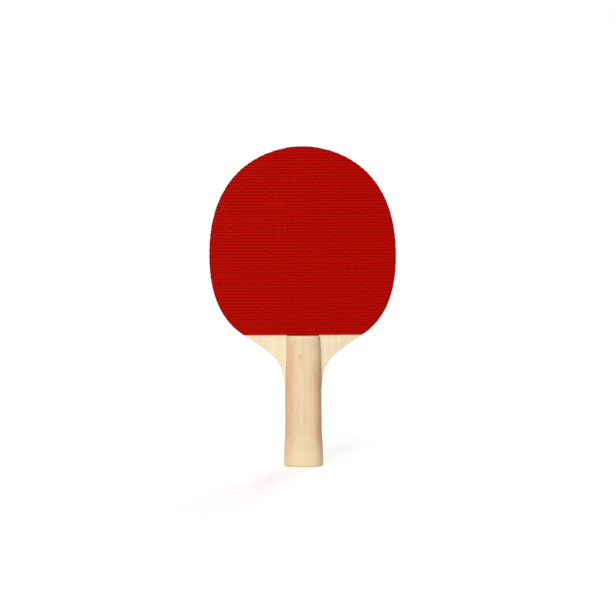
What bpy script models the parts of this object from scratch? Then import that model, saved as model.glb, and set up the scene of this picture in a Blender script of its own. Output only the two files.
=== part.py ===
"""A table tennis racket: a five-ply wooden blade, two pimpled rubber sheets on sponge, two handle scales.

The racket stands upright. +Z runs from the butt to the crown of the head, X runs across the head, and
the red side faces -Y. The origin is the centre of the butt end, in the middle of the blade's thickness.
"""

import math

import bmesh
import bpy
from mathutils import Matrix, Vector
from mathutils.geometry import interpolate_bezier

# Head, seen from the front
HEAD_WIDTH = 0.1500
CROWN_RISE = 0.0872
RUBBER_DROP = 0.0644
RUBBER_LINE_WIDTH = 0.0954
SHOULDER_ANGLE = math.radians(33.0)
NECK_REACH = 0.0486

# Handle, seen from the front
SCALE_LENGTH = 0.1046
RUBBER_TO_SCALE = 0.0008
SCALE_TOP_WIDTH = 0.0266
HANDLE_WIDTH = 0.0294
BUTT_WIDTH = 0.0317
FLARE_LENGTH = 0.0355
BUTT_ROUNDING = 0.0020

# One handle scale, seen from the side
SCALE_TOP_HEIGHT = 0.0066
SCALE_HEIGHT = 0.0083
SCALE_BUTT_HEIGHT = 0.0095
SCALE_RAMP_LENGTH = 0.0090
SCALE_TOP_CHAMFER = 0.0007

# Layers
CORE_THICKNESS = 0.0032
CROSS_PLY_THICKNESS = 0.0006
FACE_PLY_THICKNESS = 0.0006
SPONGE_THICKNESS = 0.0015
RUBBER_BASE_THICKNESS = 0.0006
GLUE_LINE = 0.0001

# Pimples of the rubber, in level rows that are each shifted by half a pitch from the last
PIMPLE_HEIGHT = 0.0010
PIMPLE_ROOT_RADIUS = 0.00097
PIMPLE_TIP_RADIUS = 0.00088
PIMPLE_PITCH = 0.00200
PIMPLE_ROW_PITCH = 0.00249
FIRST_ROW_RISE = 0.0013
PIMPLE_EDGE_CLEARANCE = 0.0003

# One pimple in this many is modelled along a row, and one row in as many, which keeps the faces few
PIMPLE_STRIDE = 3
PIMPLE_SIDES = 5

# Fullness of the curves: how far a curve's two handles reach from its ends towards the point where the
# tangents at those ends cross, or along the straight line beside it
CROWN_PULLS = (0.26, 0.88)
JOWL_PULLS = (0.40, 0.90)
SHOULDER_PULLS = (0.78, 0.95)
FLARE_PULLS = (0.45, 0.45)
RAMP_PULLS = (0.50, 0.50)
ROUNDING_PULLS = (0.5523, 0.5523)

# Fullness of a scale's rounded section: 2 is half an ellipse, and more is squarer
SECTION_FULLNESS = 2.5

# Facets in each curve of the outline, and across a scale's rounded section
CURVE_STEPS = 14
SECTION_STEPS = 20

# Heights above the butt that follow from the sizes
RUBBER_LINE_Z = SCALE_LENGTH + RUBBER_TO_SCALE
WIDEST_Z = RUBBER_LINE_Z + RUBBER_DROP
CROWN_Z = WIDEST_Z + CROWN_RISE
NECK_Z = RUBBER_LINE_Z - NECK_REACH

# Colour and roughness of each material
RED_RUBBER = ((0.429, 0.004, 0.002), 0.55)
BLACK_RUBBER = ((0.012, 0.012, 0.013), 0.55)
SPONGE_FOAM = ((0.80, 0.45, 0.10), 0.90)
FACE_VENEER = ((0.896, 0.752, 0.515), 0.60)
CROSS_VENEER = ((0.60, 0.40, 0.22), 0.65)
CORE_WOOD = ((0.78, 0.62, 0.40), 0.65)
SCALE_WOOD = ((0.807, 0.604, 0.361), 0.50)


class Stretch:
    """One stretch of an outline: a cubic curve between two ends, or a straight line if it has no handles."""

    def __init__(self, start, end, start_handle=None, end_handle=None):
        self.start = start
        self.end = end
        self.start_handle = start_handle
        self.end_handle = end_handle

    @property
    def straight(self):
        return self.start_handle is None

    def points(self):
        """The points along it, both ends among them."""
        if self.straight:
            return [self.start, self.end]
        return interpolate_bezier(
            self.start, self.start_handle, self.end_handle, self.end, CURVE_STEPS + 1
        )

    def moved(self, change, backwards=False):
        """The same stretch with every point changed by a function, and run backwards if asked."""
        four = (self.start, self.end, self.start_handle, self.end_handle)
        start, end, start_handle, end_handle = (None if p is None else change(p) for p in four)
        if backwards:
            return Stretch(end, start, end_handle, start_handle)
        return Stretch(start, end, start_handle, end_handle)


def pulled(start, end, crossing, pulls):
    """A curve whose handles reach shares of the way to the point where its end tangents cross."""
    return Stretch(start, end, start.lerp(crossing, pulls[0]), end.lerp(crossing, pulls[1]))


def eased(start, end, pulls):
    """An S-shaped curve that leaves and arrives along the plane of the blade, at its middle's slope."""
    run = Vector((end.x - start.x, 0, end.z - start.z))
    return Stretch(start, end, start + run * pulls[0], end - run * pulls[1])


def flared(start, end, pulls):
    """An S-shaped curve that leaves and arrives straight down the handle."""
    fall = Vector((0, 0, end.z - start.z))
    return Stretch(start, end, start + fall * pulls[0], end - fall * pulls[1])


def head_half():
    """The right half of the head, from the crown down to the rubber's straight edge, as (x, z)."""
    side = HEAD_WIDTH / 2
    corner = RUBBER_LINE_WIDTH / 2
    crossing_z = RUBBER_LINE_Z + (side - corner) * math.tan(SHOULDER_ANGLE)
    crown = Vector((0, CROWN_Z))
    widest = Vector((side, WIDEST_Z))
    line_end = Vector((corner, RUBBER_LINE_Z))
    return [
        pulled(crown, widest, Vector((side, CROWN_Z)), CROWN_PULLS),
        pulled(widest, line_end, Vector((side, crossing_z)), JOWL_PULLS),
    ]


def shoulder():
    """The hollow curve from the rubber's edge down to the neck, as (x, z)."""
    corner = RUBBER_LINE_WIDTH / 2
    neck = HANDLE_WIDTH / 2
    crossing_z = RUBBER_LINE_Z - (corner - neck) * math.tan(SHOULDER_ANGLE)
    return pulled(
        Vector((corner, RUBBER_LINE_Z)),
        Vector((neck, NECK_Z)),
        Vector((neck, crossing_z)),
        SHOULDER_PULLS,
    )


def handle_rail():
    """The handle's right edge from the neck down to the butt, as (x, height above the blade, z)."""
    neck = Vector((HANDLE_WIDTH / 2, SCALE_HEIGHT, NECK_Z))
    waist = Vector((HANDLE_WIDTH / 2, SCALE_HEIGHT, FLARE_LENGTH))
    heel = Vector((BUTT_WIDTH / 2, SCALE_BUTT_HEIGHT, BUTT_ROUNDING))
    corner = Vector((heel.x, heel.y, 0))
    toe = corner - Vector((BUTT_ROUNDING, BUTT_ROUNDING, 0))
    return [
        Stretch(neck, waist),
        flared(waist, heel, FLARE_PULLS),
        pulled(heel, toe, corner, ROUNDING_PULLS),
    ]


def scale_rail():
    """A scale's right edge from its top end down to the butt, as (x, height above the blade, z)."""
    neck = handle_rail()[0].start
    rim = Vector((SCALE_TOP_WIDTH / 2, SCALE_TOP_HEIGHT, SCALE_LENGTH - SCALE_TOP_CHAMFER))
    end = rim + Vector((-SCALE_TOP_CHAMFER, -SCALE_TOP_CHAMFER, SCALE_TOP_CHAMFER))
    foot = Vector((rim.x, neck.y, rim.z)).lerp(neck, SCALE_RAMP_LENGTH / (rim.z - neck.z))
    return [Stretch(end, rim), eased(rim, foot, RAMP_PULLS), Stretch(foot, neck), *handle_rail()]


def without_height(point):
    """A point of the handle's rail as the blade's outline sees it."""
    return Vector((point.x, point.z))


def mirrored(point):
    return Vector((-point.x, point.y))


def closed_outline(half):
    """A closed outline from the stretches of its right half, which run from the crown downwards."""
    left = [stretch.moved(mirrored, backwards=True) for stretch in reversed(half)]
    foot = Stretch(half[-1].end, left[0].start)
    return [*half, foot, *left]


def rubber_outline():
    return closed_outline(head_half())


def blade_outline():
    handle = [stretch.moved(without_height) for stretch in handle_rail()]
    return closed_outline([*head_half(), shoulder(), *handle])


def make_sheet_curve(name, outline, thickness):
    """A flat sheet: the closed outline as a filled 2D curve, extruded by half its thickness each way."""
    curve = bpy.data.curves.new(name, "CURVE")
    curve.dimensions = "2D"
    curve.fill_mode = "BOTH"
    curve.extrude = thickness / 2
    curve.resolution_u = CURVE_STEPS
    spline = curve.splines.new("BEZIER")
    spline.use_cyclic_u = True
    spline.bezier_points.add(len(outline) - 1)
    for index, point in enumerate(spline.bezier_points):
        before = outline[index - 1]
        after = outline[index]
        point.co = (*after.start, 0)
        point.handle_left_type = "VECTOR" if before.straight else "FREE"
        point.handle_right_type = "VECTOR" if after.straight else "FREE"
        if not before.straight:
            point.handle_left = (*before.end_handle, 0)
        if not after.straight:
            point.handle_right = (*after.start_handle, 0)
    return curve


def outline_corners(outline):
    """The points of a closed outline, each once."""
    return [corner for stretch in outline for corner in stretch.points()[:-1]]


def depth_inside(point, corners):
    """How far a point lies inside an outline that is round all over and runs clockwise."""
    depths = []
    for corner, following in zip(corners, [*corners[1:], corners[0]]):
        run = (following - corner).normalized()
        depths.append((point - corner).dot(Vector((run.y, -run.x))))
    return min(depths)


def pimple_places():
    """Where the modelled pimples stand, as (x, z), each whole and clear of the rubber's edge."""
    step = PIMPLE_PITCH * PIMPLE_STRIDE
    rise = PIMPLE_ROW_PITCH * PIMPLE_STRIDE
    first = RUBBER_LINE_Z + FIRST_ROW_RISE
    columns = int(HEAD_WIDTH / 2 / step) + 1
    rows = int((CROWN_Z - first) / rise) + 1
    corners = outline_corners(rubber_outline())
    places = []
    for row in range(rows):
        for column in range(-columns, columns + 1):
            place = Vector(((column + row % 2 / 2) * step, first + row * rise))
            if depth_inside(place, corners) > PIMPLE_ROOT_RADIUS + PIMPLE_EDGE_CLEARANCE:
                places.append(place)
    return places


def add_pimple(form, place, surface, direction):
    """Stands a short cone on a surface, open at its root."""
    middle = surface + direction * PIMPLE_HEIGHT / 2
    turn = Matrix.Rotation(0 if direction > 0 else math.pi, 4, "X")
    cone = bmesh.ops.create_cone(
        form,
        cap_ends=True,
        segments=PIMPLE_SIDES,
        radius1=PIMPLE_ROOT_RADIUS,
        radius2=PIMPLE_TIP_RADIUS,
        depth=PIMPLE_HEIGHT,
        matrix=Matrix.Translation((place.x, place.y, middle)) @ turn,
    )
    faces = {face for vert in cone["verts"] for face in vert.link_faces}
    root = min(faces, key=lambda face: direction * face.calc_center_median().z)
    bmesh.ops.delete(form, geom=[root], context="FACES_ONLY")


def make_rubber_mesh(name, direction):
    """A rubber sheet with its pimples, which point along +Z or -Z, its base's middle on the plane z = 0."""
    mesh = bpy.data.meshes.new(name)
    form = bmesh.new()
    surface = direction * RUBBER_BASE_THICKNESS / 2
    corners = outline_corners(rubber_outline())
    glued = form.faces.new([form.verts.new((corner.x, corner.y, -surface)) for corner in corners])
    grown = bmesh.ops.extrude_face_region(form, geom=[glued])["geom"]
    cover = next(part for part in grown if isinstance(part, bmesh.types.BMFace))
    bmesh.ops.translate(form, verts=cover.verts, vec=(0, 0, 2 * surface))
    bmesh.ops.delete(form, geom=[cover], context="FACES_ONLY")
    for place in pimple_places():
        add_pimple(form, place, surface, direction)
    rims = [edge for edge in form.edges if edge.is_boundary]
    bmesh.ops.triangle_fill(form, edges=rims, use_beauty=True)
    bmesh.ops.recalc_face_normals(form, faces=form.faces)
    form.to_mesh(mesh)
    form.free()
    return mesh


def section_points(half_width, height):
    """A scale's section from its right foot over the crest to its left foot, as (x, height)."""
    points = []
    for step in range(SECTION_STEPS + 1):
        angle = math.pi * step / SECTION_STEPS
        across = math.copysign(abs(math.cos(angle)) ** (2 / SECTION_FULLNESS), math.cos(angle))
        up = max(math.sin(angle), 0) ** (2 / SECTION_FULLNESS)
        points.append((half_width * across, height * up))
    return points


def rail_points():
    """The points of a scale's rail from its top end to the butt, each once."""
    points = []
    for stretch in scale_rail():
        points.extend(stretch.points()[:-1])
    points.append(scale_rail()[-1].end)
    return points


def make_scale_mesh(name):
    """A handle scale: its rounded section lofted along its rail, flat side on the plane y = 0."""
    mesh = bpy.data.meshes.new(name)
    form = bmesh.new()
    rings = [
        [form.verts.new((x, height, rail.z)) for x, height in section_points(rail.x, rail.y)]
        for rail in rail_points()
    ]
    for upper, lower in zip(rings, rings[1:]):
        for index in range(len(upper)):
            form.faces.new((upper[index - 1], upper[index], lower[index], lower[index - 1]))
    form.faces.new(rings[0])
    form.faces.new(rings[-1])
    bmesh.ops.recalc_face_normals(form, faces=form.faces)
    form.to_mesh(mesh)
    form.free()
    mesh.shade_smooth()
    mesh.set_sharp_from_angle(angle=math.radians(35))
    return mesh


class Racket:
    """The finished racket: its pieces in one collection, carried by one empty at the butt."""

    def __init__(self):
        self.collection = bpy.data.collections.new("table_tennis_racket")
        bpy.context.scene.collection.children.link(self.collection)
        self.carrier = bpy.data.objects.new("racket_frame", None)
        self.collection.objects.link(self.carrier)
        self.materials = {}

    def place(self, name, data, material, look, location, rotation):
        """Adds one piece as an object of its own with its own material."""
        piece = bpy.data.objects.new(name, data)
        if material not in self.materials:
            self.materials[material] = make_material(material, look)
        data.materials.clear()
        data.materials.append(self.materials[material])
        piece.location = location
        piece.rotation_euler = rotation
        piece.parent = self.carrier
        self.collection.objects.link(piece)

    def place_sheet(self, name, outline, thickness, middle, material, look):
        """Adds a flat sheet that stands upright with its middle plane at y = middle."""
        curve = make_sheet_curve(name, outline, thickness)
        self.place(name, curve, material, look, (0, middle, 0), (math.pi / 2, 0, 0))

    def place_side(self, side, facing, rubber):
        """Adds all the layers on one side of the core, and that side's handle scale."""
        blade = blade_outline()
        head = rubber_outline()
        layers = (
            ("cross_ply", blade, CROSS_PLY_THICKNESS, "cross_veneer", CROSS_VENEER),
            ("face_ply", blade, FACE_PLY_THICKNESS, "face_veneer", FACE_VENEER),
            ("sponge", head, SPONGE_THICKNESS, "sponge_foam", SPONGE_FOAM),
        )
        surface = CORE_THICKNESS / 2
        for layer, outline, thickness, material, look in layers:
            middle = surface + GLUE_LINE + thickness / 2
            self.place_sheet(f"{side}_{layer}", outline, thickness, facing * middle, material, look)
            surface = middle + thickness / 2
            if layer == "face_ply":
                self.place_scale(side, facing, surface + GLUE_LINE)
        self.place_rubber(side, facing, surface + GLUE_LINE, *rubber)

    def place_rubber(self, side, facing, seat, material, look):
        """Adds a rubber with its glued face at a distance from the middle of the blade."""
        name = f"{side}_rubber"
        middle = facing * (seat + RUBBER_BASE_THICKNESS / 2)
        mesh = make_rubber_mesh(name, -facing)
        self.place(name, mesh, material, look, (0, middle, 0), (math.pi / 2, 0, 0))

    def place_scale(self, side, facing, seat):
        """Adds a handle scale with its flat side at a distance from the middle of the blade."""
        name = f"{side}_handle_scale"
        turn = 0 if facing > 0 else math.pi
        self.place(
            name, make_scale_mesh(name), "scale_wood", SCALE_WOOD, (0, facing * seat, 0), (0, 0, turn)
        )


def make_material(name, look):
    """A Principled material from a colour and a roughness."""
    colour, roughness = look
    material = bpy.data.materials.new(name)
    material.use_nodes = True
    shader = material.node_tree.nodes["Principled BSDF"]
    shader.inputs["Base Color"].default_value = (*colour, 1.0)
    shader.inputs["Roughness"].default_value = roughness
    shader.inputs["Metallic"].default_value = 0.0
    return material


def clear_scene():
    """Removes whatever the file opened with."""
    for obj in list(bpy.data.objects):
        bpy.data.objects.remove(obj, do_unlink=True)


def main():
    clear_scene()
    racket = Racket()
    racket.place_sheet("core_ply", blade_outline(), CORE_THICKNESS, 0, "core_wood", CORE_WOOD)
    racket.place_side("front", -1, ("red_rubber", RED_RUBBER))
    racket.place_side("back", 1, ("black_rubber", BLACK_RUBBER))


main()
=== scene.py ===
"""The looks of a table tennis racket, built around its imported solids.

The racket stands upright: +Z from the butt to the crown, X across the head, the red side towards -Y.
Every size is in metres. Colours are written as display values from 0 to 255 and turned linear.
"""

import logging
import math
from dataclasses import dataclass, replace
from enum import Enum

import bmesh
import bpy
from mathutils import Matrix, Vector, noise
from mathutils.geometry import interpolate_bezier

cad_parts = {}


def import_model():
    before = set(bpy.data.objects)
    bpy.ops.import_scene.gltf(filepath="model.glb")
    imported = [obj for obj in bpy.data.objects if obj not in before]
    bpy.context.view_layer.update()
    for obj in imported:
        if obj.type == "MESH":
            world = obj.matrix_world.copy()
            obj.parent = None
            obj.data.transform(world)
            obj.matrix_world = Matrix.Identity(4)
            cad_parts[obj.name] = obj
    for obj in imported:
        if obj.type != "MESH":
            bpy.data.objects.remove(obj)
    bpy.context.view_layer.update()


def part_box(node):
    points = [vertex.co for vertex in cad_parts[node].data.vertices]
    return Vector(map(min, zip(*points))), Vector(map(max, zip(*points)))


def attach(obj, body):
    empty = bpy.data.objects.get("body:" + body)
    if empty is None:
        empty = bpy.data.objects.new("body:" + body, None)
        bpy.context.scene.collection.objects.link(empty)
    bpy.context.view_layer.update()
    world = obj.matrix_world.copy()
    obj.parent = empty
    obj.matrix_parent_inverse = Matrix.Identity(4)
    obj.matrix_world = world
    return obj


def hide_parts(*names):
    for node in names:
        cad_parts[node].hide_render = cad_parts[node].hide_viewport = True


LOG = logging.getLogger("racket")
BODY = "root"
RIM = "rim"
MM = 0.001
QUARTER_TURN = math.radians(90)
WHITE = (1.0, 1.0, 1.0, 1.0)
# Points count as level when they are closer than TOUCH, and as on a cut when closer than CUT_SLACK.
TOUCH = 0.001 * MM
CUT_SLACK = 0.0001 * MM
# Where the Mix node keeps its share, its two colours and the mixed colour among its sockets.
MIX_INPUTS = (0, 6, 7)
MIX_OUTPUT = 2

Rgba = tuple[float, float, float, float]
Triple = tuple[float, float, float]
Pair = tuple[float, float]
Points = list[Vector]
Socket = bpy.types.NodeSocket
Surface = dict[str, Socket]
Form = bmesh.types.BMesh
Face = bmesh.types.BMFace
Edges = list[bmesh.types.BMEdge]
Corners = list[bmesh.types.BMVert]
Piece = bpy.types.Object


class Side(Enum):
    """The two sides of the blade, with the direction in Y that each faces."""

    FRONT = -1
    BACK = 1

    @property
    def word(self) -> str:
        """The side's name as the nodes spell it."""
        return self.name.lower()

    def faces(self, node: str) -> Pair:
        """Where a solid's two faces lie, as seen from this side of the blade.

        Args:
            node: The solid's name.

        Returns:
            The y of its inner face, and of its outer face.
        """
        low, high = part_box(node)
        return (low.y, high.y) if self is Side.BACK else (high.y, low.y)


class Grain(Enum):
    """The axis that the fibres of a piece of wood run along."""

    UPRIGHT = "Z"
    ACROSS = "X"


def colour(red: float, green: float, blue: float) -> Rgba:
    """A linear colour from display values, by the sRGB curve.

    Args:
        red: From 0 to 255, as are the other two.
        green: See red.
        blue: See red.

    Returns:
        Linear red, green and blue from 0 to 1, and an alpha of 1.
    """
    linear = []
    for value in (red, green, blue):
        share = value / 255
        linear.append(share / 12.92 if share <= 0.04045 else ((share + 0.055) / 1.055) ** 2.4)
    return (*linear, 1.0)


def curve_points(start: Vector, end: Vector, pulls: tuple[Vector, Vector], steps: int) -> Points:
    """The points of a cubic curve, without its last.

    Args:
        start: Where it begins.
        end: Where it ends.
        pulls: Its two handles.
        steps: How many straight facets it has.

    Returns:
        One point for each facet.
    """
    return interpolate_bezier(start, pulls[0], pulls[1], end, steps + 1)[:-1]


def pulled_points(start: Vector, end: Vector, crossing: Vector, shares: Pair, steps: int) -> Points:
    """The points of a curve whose handles reach towards the crossing of its end tangents.

    Args:
        start: Where it begins.
        end: Where it ends.
        crossing: Where the tangents at its ends cross.
        shares: How far each handle reaches towards the crossing.
        steps: How many straight facets it has.

    Returns:
        Its points, without the last.
    """
    handles = (start.lerp(crossing, shares[0]), end.lerp(crossing, shares[1]))
    return curve_points(start, end, handles, steps)


@dataclass(frozen=True)
class RacketPlan:
    """The racket's outline, with the sizes that its solids have."""

    head_width: float = 0.1500
    crown_rise: float = 0.0872
    rubber_drop: float = 0.0644
    rubber_line_width: float = 0.0954
    shoulder_angle: float = math.radians(33.0)
    neck_reach: float = 0.0486
    scale_length: float = 0.1046
    rubber_to_scale: float = 0.0008
    scale_top_width: float = 0.0266
    handle_width: float = 0.0294
    butt_width: float = 0.0317
    flare_length: float = 0.0355
    butt_rounding: float = 0.0020
    scale_top_height: float = 0.0066
    scale_height: float = 0.0083
    scale_butt_height: float = 0.0095
    scale_ramp_length: float = 0.0090
    scale_top_chamfer: float = 0.0007
    crown_pulls: Pair = (0.26, 0.88)
    jowl_pulls: Pair = (0.40, 0.90)
    shoulder_pulls: Pair = (0.78, 0.95)
    flare_pull: float = 0.45
    ramp_pull: float = 0.50
    rounding_pull: float = 0.5523
    head_steps: int = 44
    shoulder_steps: int = 32
    handle_steps: int = 18
    rounding_steps: int = 6

    @property
    def rubber_line_z(self) -> float:
        """Height of the rubber's straight lower edge."""
        return self.scale_length + self.rubber_to_scale

    @property
    def widest_z(self) -> float:
        """Height at which the head is widest."""
        return self.rubber_line_z + self.rubber_drop

    @property
    def crown_z(self) -> float:
        """Height of the top of the head."""
        return self.widest_z + self.crown_rise

    @property
    def neck_z(self) -> float:
        """Height at which the shoulders run into the handle."""
        return self.rubber_line_z - self.neck_reach

    def head_half(self) -> Points:
        """The right half of the head as (x, z), from the crown to the rubber's lower corner.

        Returns:
            Its points, corner included.
        """
        side = self.head_width / 2
        corner = Vector((self.rubber_line_width / 2, self.rubber_line_z))
        widest = Vector((side, self.widest_z))
        crossing_z = self.rubber_line_z + (side - corner.x) * math.tan(self.shoulder_angle)
        crown = Vector((0, self.crown_z))
        return [
            *pulled_points(crown, widest, Vector((side, self.crown_z)), self.crown_pulls, self.head_steps),
            *pulled_points(widest, corner, Vector((side, crossing_z)), self.jowl_pulls, self.head_steps),
            corner,
        ]

    def shoulder_half(self) -> Points:
        """The right shoulder as (x, z), from the rubber's lower corner to just above the neck.

        Returns:
            Its points, without the corner and the neck.
        """
        corner = Vector((self.rubber_line_width / 2, self.rubber_line_z))
        neck = Vector((self.handle_width / 2, self.neck_z))
        crossing_z = self.rubber_line_z - (corner.x - neck.x) * math.tan(self.shoulder_angle)
        points = pulled_points(
            corner, neck, Vector((neck.x, crossing_z)), self.shoulder_pulls, self.shoulder_steps
        )
        return points[1:]

    def handle_rail(self) -> Points:
        """The handle's right edge from the neck to the butt, as (x, height above the blade, z).

        Returns:
            Its stations, both ends included.
        """
        neck = Vector((self.handle_width / 2, self.scale_height, self.neck_z))
        waist = Vector((self.handle_width / 2, self.scale_height, self.flare_length))
        heel = Vector((self.butt_width / 2, self.scale_butt_height, self.butt_rounding))
        corner = Vector((heel.x, heel.y, 0))
        toe = corner - Vector((self.butt_rounding, self.butt_rounding, 0))
        fall = Vector((0, 0, (heel.z - waist.z) * self.flare_pull))
        pulls = (self.rounding_pull, self.rounding_pull)
        straight = [neck.lerp(waist, step / self.rounding_steps) for step in range(self.rounding_steps)]
        return [
            *straight,
            *curve_points(waist, heel, (waist + fall, heel - fall), self.handle_steps),
            *pulled_points(heel, toe, corner, pulls, self.rounding_steps),
            toe,
        ]

    def scale_rail(self) -> Points:
        """A scale's right edge from its top end to the butt, as (x, height above the blade, z).

        Returns:
            Its stations, both ends included.
        """
        neck = self.handle_rail()[0]
        rim = Vector((self.scale_top_width / 2, self.scale_top_height, self.scale_length))
        rim.z -= self.scale_top_chamfer
        end = rim + Vector((-1, -1, 1)) * self.scale_top_chamfer
        foot = Vector((rim.x, neck.y, rim.z)).lerp(neck, self.scale_ramp_length / (rim.z - neck.z))
        run = Vector((foot.x - rim.x, 0, foot.z - rim.z)) * self.ramp_pull
        taper = [foot.lerp(neck, step / self.handle_steps) for step in range(self.handle_steps)]
        return [
            end,
            *curve_points(rim, foot, (rim + run, foot - run), self.handle_steps),
            *taper,
            *self.handle_rail(),
        ]

    def rubber_loop(self) -> Points:
        """The closed outline of the rubber and the sponge, as (x, z)."""
        return mirrored_loop(self.head_half())

    def blade_loop(self) -> Points:
        """The closed outline of the wooden blade, tang included, as (x, z)."""
        handle = [Vector((point.x, point.z)) for point in self.handle_rail()]
        return mirrored_loop([*self.head_half(), *self.shoulder_half(), *handle])


def mirrored_loop(half: Points) -> Points:
    """A closed outline from its right half, whose first point lies on the middle line."""
    left = [Vector((-point.x, point.y)) for point in reversed(half[1:])]
    return [*half, *left]


def resampled_loop(loop: Points, spacing: float) -> Points:
    """The same closed outline with points at an even spacing.

    Args:
        loop: The outline.
        spacing: The distance between neighbouring points.

    Returns:
        The new points, on the straight facets of the old outline.
    """
    points = []
    carried = 0.0
    for start, end in zip(loop, [*loop[1:], loop[0]]):
        length = (end - start).length
        place = carried
        while place < length:
            points.append(start.lerp(end, place / length))
            place += spacing
        carried = place - length
    return points


def offset_loop(loop: Points, distance: float) -> Points:
    """The same closed outline moved in by a small distance.

    Args:
        loop: The outline, which runs clockwise from its top.
        distance: How far each point moves in.

    Returns:
        The new points, one for each old one.
    """
    points = []
    for before, point, after in zip([loop[-1], *loop[:-1]], loop, [*loop[1:], loop[0]]):
        run = (after - before).normalized()
        points.append(point + Vector((run.y, -run.x)) * distance)
    return points


def nearest_on_loop(point: Vector, loop: Points) -> tuple[Vector, Vector, float]:
    """The place on an outline that is nearest to a point.

    Args:
        point: The point.
        loop: The closed outline, which runs clockwise from its top.

    Returns:
        The place, the direction that points out of the outline there, and how far inside it the point is.
    """
    best = (math.inf, point, point)
    for start, end in zip(loop, [*loop[1:], loop[0]]):
        run = end - start
        share = min(max((point - start).dot(run) / run.length_squared, 0.0), 1.0)
        place = start + run * share
        gap = (point - place).length
        if gap < best[0]:
            best = (gap, place, Vector((-run.y, run.x)).normalized())
    gap, place, outward = best
    inside = gap if (point - place).dot(outward) <= 0 else -gap
    return place, outward, inside


class NodeBench:
    """Adds nodes to one shader tree and links them."""

    def __init__(self, tree: bpy.types.NodeTree) -> None:
        """Takes the tree that the nodes go into."""
        self.tree = tree

    def add(self, kind: str, **settings: object) -> bpy.types.Node:
        """Adds a node and sets its properties.

        Args:
            kind: The node's type.
            **settings: Its properties by name.

        Returns:
            The new node.
        """
        node = self.tree.nodes.new(kind)
        for name, value in settings.items():
            setattr(node, name, value)
        return node

    def feed(self, socket: Socket, value: object) -> None:
        """Links a socket to another, or gives it a plain value.

        Args:
            socket: The input.
            value: An output's socket, or a number, vector or colour.
        """
        if isinstance(value, Socket):
            self.tree.links.new(value, socket)
        else:
            socket.default_value = value

    def calculate(self, operation: str, *values: object, clamp: bool = False) -> Socket:
        """A Math node on sockets or numbers.

        Args:
            operation: What it works out.
            *values: Its inputs in order.
            clamp: Whether the result is kept from 0 to 1.

        Returns:
            The result's socket.
        """
        node = self.add("ShaderNodeMath", operation=operation, use_clamp=clamp)
        for socket, value in zip(node.inputs, values):
            self.feed(socket, value)
        return node.outputs[0]

    def stretched(self, vector: Socket, factors: Triple) -> Socket:
        """A vector with each of its parts multiplied by its own factor.

        Args:
            vector: The vector.
            factors: One factor for each part.

        Returns:
            The result's socket.
        """
        node = self.add("ShaderNodeVectorMath", operation="MULTIPLY")
        self.feed(node.inputs[0], vector)
        self.feed(node.inputs[1], factors)
        return node.outputs[0]

    def noise_value(
        self, vector: Socket, scale: float, detail: float = 2.0, distortion: float = 0.0
    ) -> Socket:
        """A noise from 0 to 1.

        Args:
            vector: Where it is read.
            scale: How many of its features fit in one unit.
            detail: How many finer layers it has.
            distortion: How much it is swirled.

        Returns:
            The value's socket.
        """
        node = self.add("ShaderNodeTexNoise", noise_dimensions="3D")
        self.feed(node.inputs["Vector"], vector)
        self.feed(node.inputs["Scale"], scale)
        self.feed(node.inputs["Detail"], detail)
        self.feed(node.inputs["Distortion"], distortion)
        return node.outputs["Fac"]

    def cell_distance(self, vector: Socket, scale: float = 1.0) -> Socket:
        """How far a place is from the middle of its nearest cell.

        Args:
            vector: Where it is read.
            scale: How many cells fit in one unit.

        Returns:
            The distance's socket.
        """
        node = self.add("ShaderNodeTexVoronoi", voronoi_dimensions="3D", feature="F1")
        self.feed(node.inputs["Vector"], vector)
        self.feed(node.inputs["Scale"], scale)
        return node.outputs["Distance"]

    def ranged(
        self, value: object, low: float, high: float, to_low: float = 0.0, to_high: float = 1.0
    ) -> Socket:
        """A value moved smoothly from one range to another.

        Args:
            value: The socket or number to move.
            low: What becomes to_low, with all below it.
            high: What becomes to_high, with all above it.
            to_low: The start of the new range.
            to_high: The end of the new range.

        Returns:
            The result's socket.
        """
        node = self.add("ShaderNodeMapRange", interpolation_type="SMOOTHSTEP")
        names = ("Value", "From Min", "From Max", "To Min", "To Max")
        for name, number in zip(names, (value, low, high, to_low, to_high)):
            self.feed(node.inputs[name], number)
        return node.outputs["Result"]

    def blended(self, share: object, first: object, second: object, blend: str = "MIX") -> Socket:
        """Two colours mixed.

        Args:
            share: How much of the second, from 0 to 1.
            first: The first colour or its socket.
            second: The second colour or its socket.
            blend: How they are mixed.

        Returns:
            The mixed colour's socket.
        """
        node = self.add("ShaderNodeMix", data_type="RGBA", blend_type=blend)
        for place, value in zip(MIX_INPUTS, (share, first, second)):
            self.feed(node.inputs[place], value)
        return node.outputs[MIX_OUTPUT]

    def part_of(self, output: str, axis: str) -> Socket:
        """One part of a place or of a direction on the piece.

        Args:
            output: Object for the place in metres, or Normal for the way that the surface faces.
            axis: X, Y or Z.

        Returns:
            The part's socket.
        """
        parts = self.add("ShaderNodeSeparateXYZ")
        self.feed(parts.inputs[0], self.add("ShaderNodeTexCoord").outputs[output])
        return parts.outputs[axis]

    def brightened(self, base: object, value: Socket) -> Socket:
        """A colour multiplied by a value that changes over the surface.

        Args:
            base: The colour or its socket.
            value: What it is multiplied by.

        Returns:
            The new colour's socket.
        """
        grey = self.add("ShaderNodeCombineColor")
        for socket in grey.inputs:
            self.feed(socket, value)
        return self.blended(1.0, base, grey.outputs[0], "MULTIPLY")


def emptied_bench(owner: bpy.types.Material | bpy.types.World) -> NodeBench:
    """A bench on the node tree of a new material or world, emptied first.

    Args:
        owner: The material or world.

    Returns:
        The bench.
    """
    owner.use_nodes = True
    owner.node_tree.nodes.clear()
    return NodeBench(owner.node_tree)


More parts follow.
